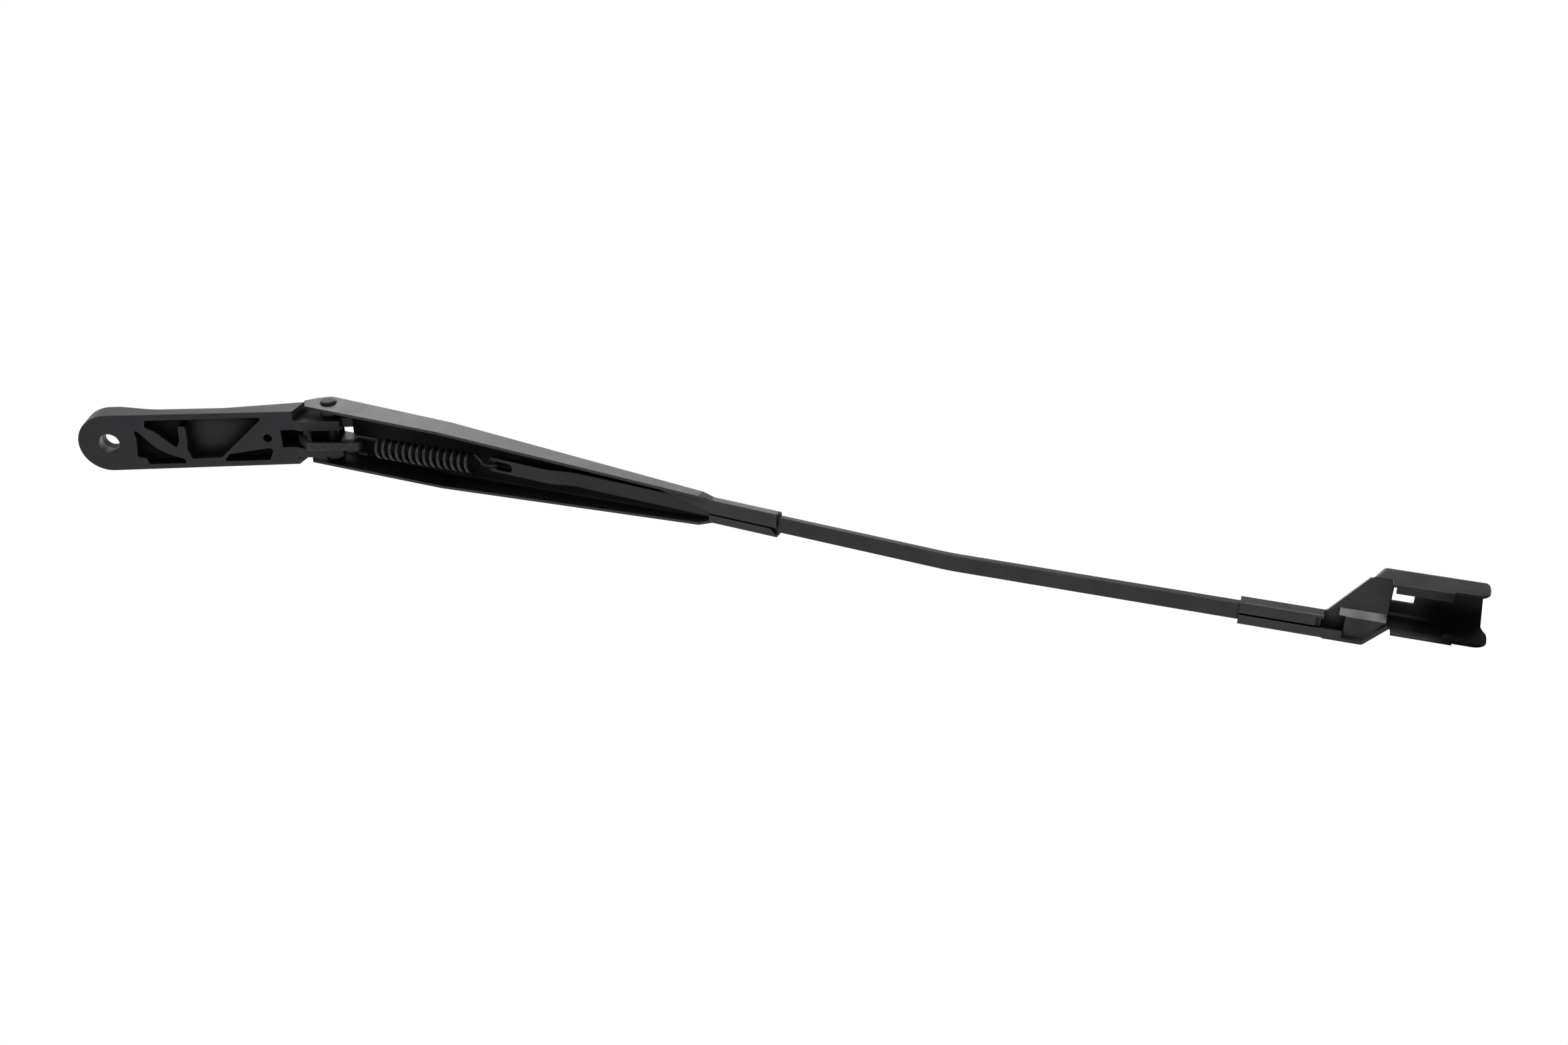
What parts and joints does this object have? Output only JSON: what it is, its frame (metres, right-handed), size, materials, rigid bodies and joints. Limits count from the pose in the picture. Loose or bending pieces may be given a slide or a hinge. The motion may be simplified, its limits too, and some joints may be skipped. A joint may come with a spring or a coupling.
{
  "type": "wiper arm",
  "caption": "Black windscreen wiper arm with a ribbed cast head, a sprung hinge, a pressed channel, a flat rod and an offset hood for the blade",
  "frame": {"origin": "on the spindle axis, at the underside of the head", "axes": "+X along the head towards the tip, +Z away from the glass, +Y to the side away from the offset hood"},
  "size_m": [0.595, 0.0398, 0.2404],
  "materials": {
    "cast_black": "satin black coat on a die casting",
    "satin_black": "satin black coat on pressed steel",
    "pin_black": "black coat over a rivet head",
    "grey_bush": "grey bearing plastic",
    "bare_steel": "plain ground pin",
    "link_steel": "dark plated strip",
    "spring_wire": "drawn spring wire"
  },
  "bodies": {
    "head": {"mounting_head": "cast_black", "anchor_pin": "bare_steel", "hinge_bush_left": "grey_bush", "hinge_bush_right": "grey_bush"},
    "arm": {"retainer": "satin_black", "hinge_pin": "pin_black", "rod": "satin_black", "end_piece": "satin_black"},
    "link": {"spring_link": "link_steel", "tension_spring": "spring_wire"}
  },
  "joints": [
    {"name": "arm_lift", "type": "hinge", "parent": "head", "child": "arm", "pos_m": [0.105, 0, 0.008], "axis": [0, -1, 0], "range_deg": [0, 70]},
    {"name": "link_swing", "type": "hinge", "parent": "head", "child": "link", "pos_m": [0.0945, 0, 0.001], "axis": [0, -1, 0], "range_deg": [0, 62.6], "deforming": ["tension_spring"]}
  ],
  "couplings": [
    {"joint": "link_swing", "follows": "arm_lift", "ratio": 0.894}
  ]
}
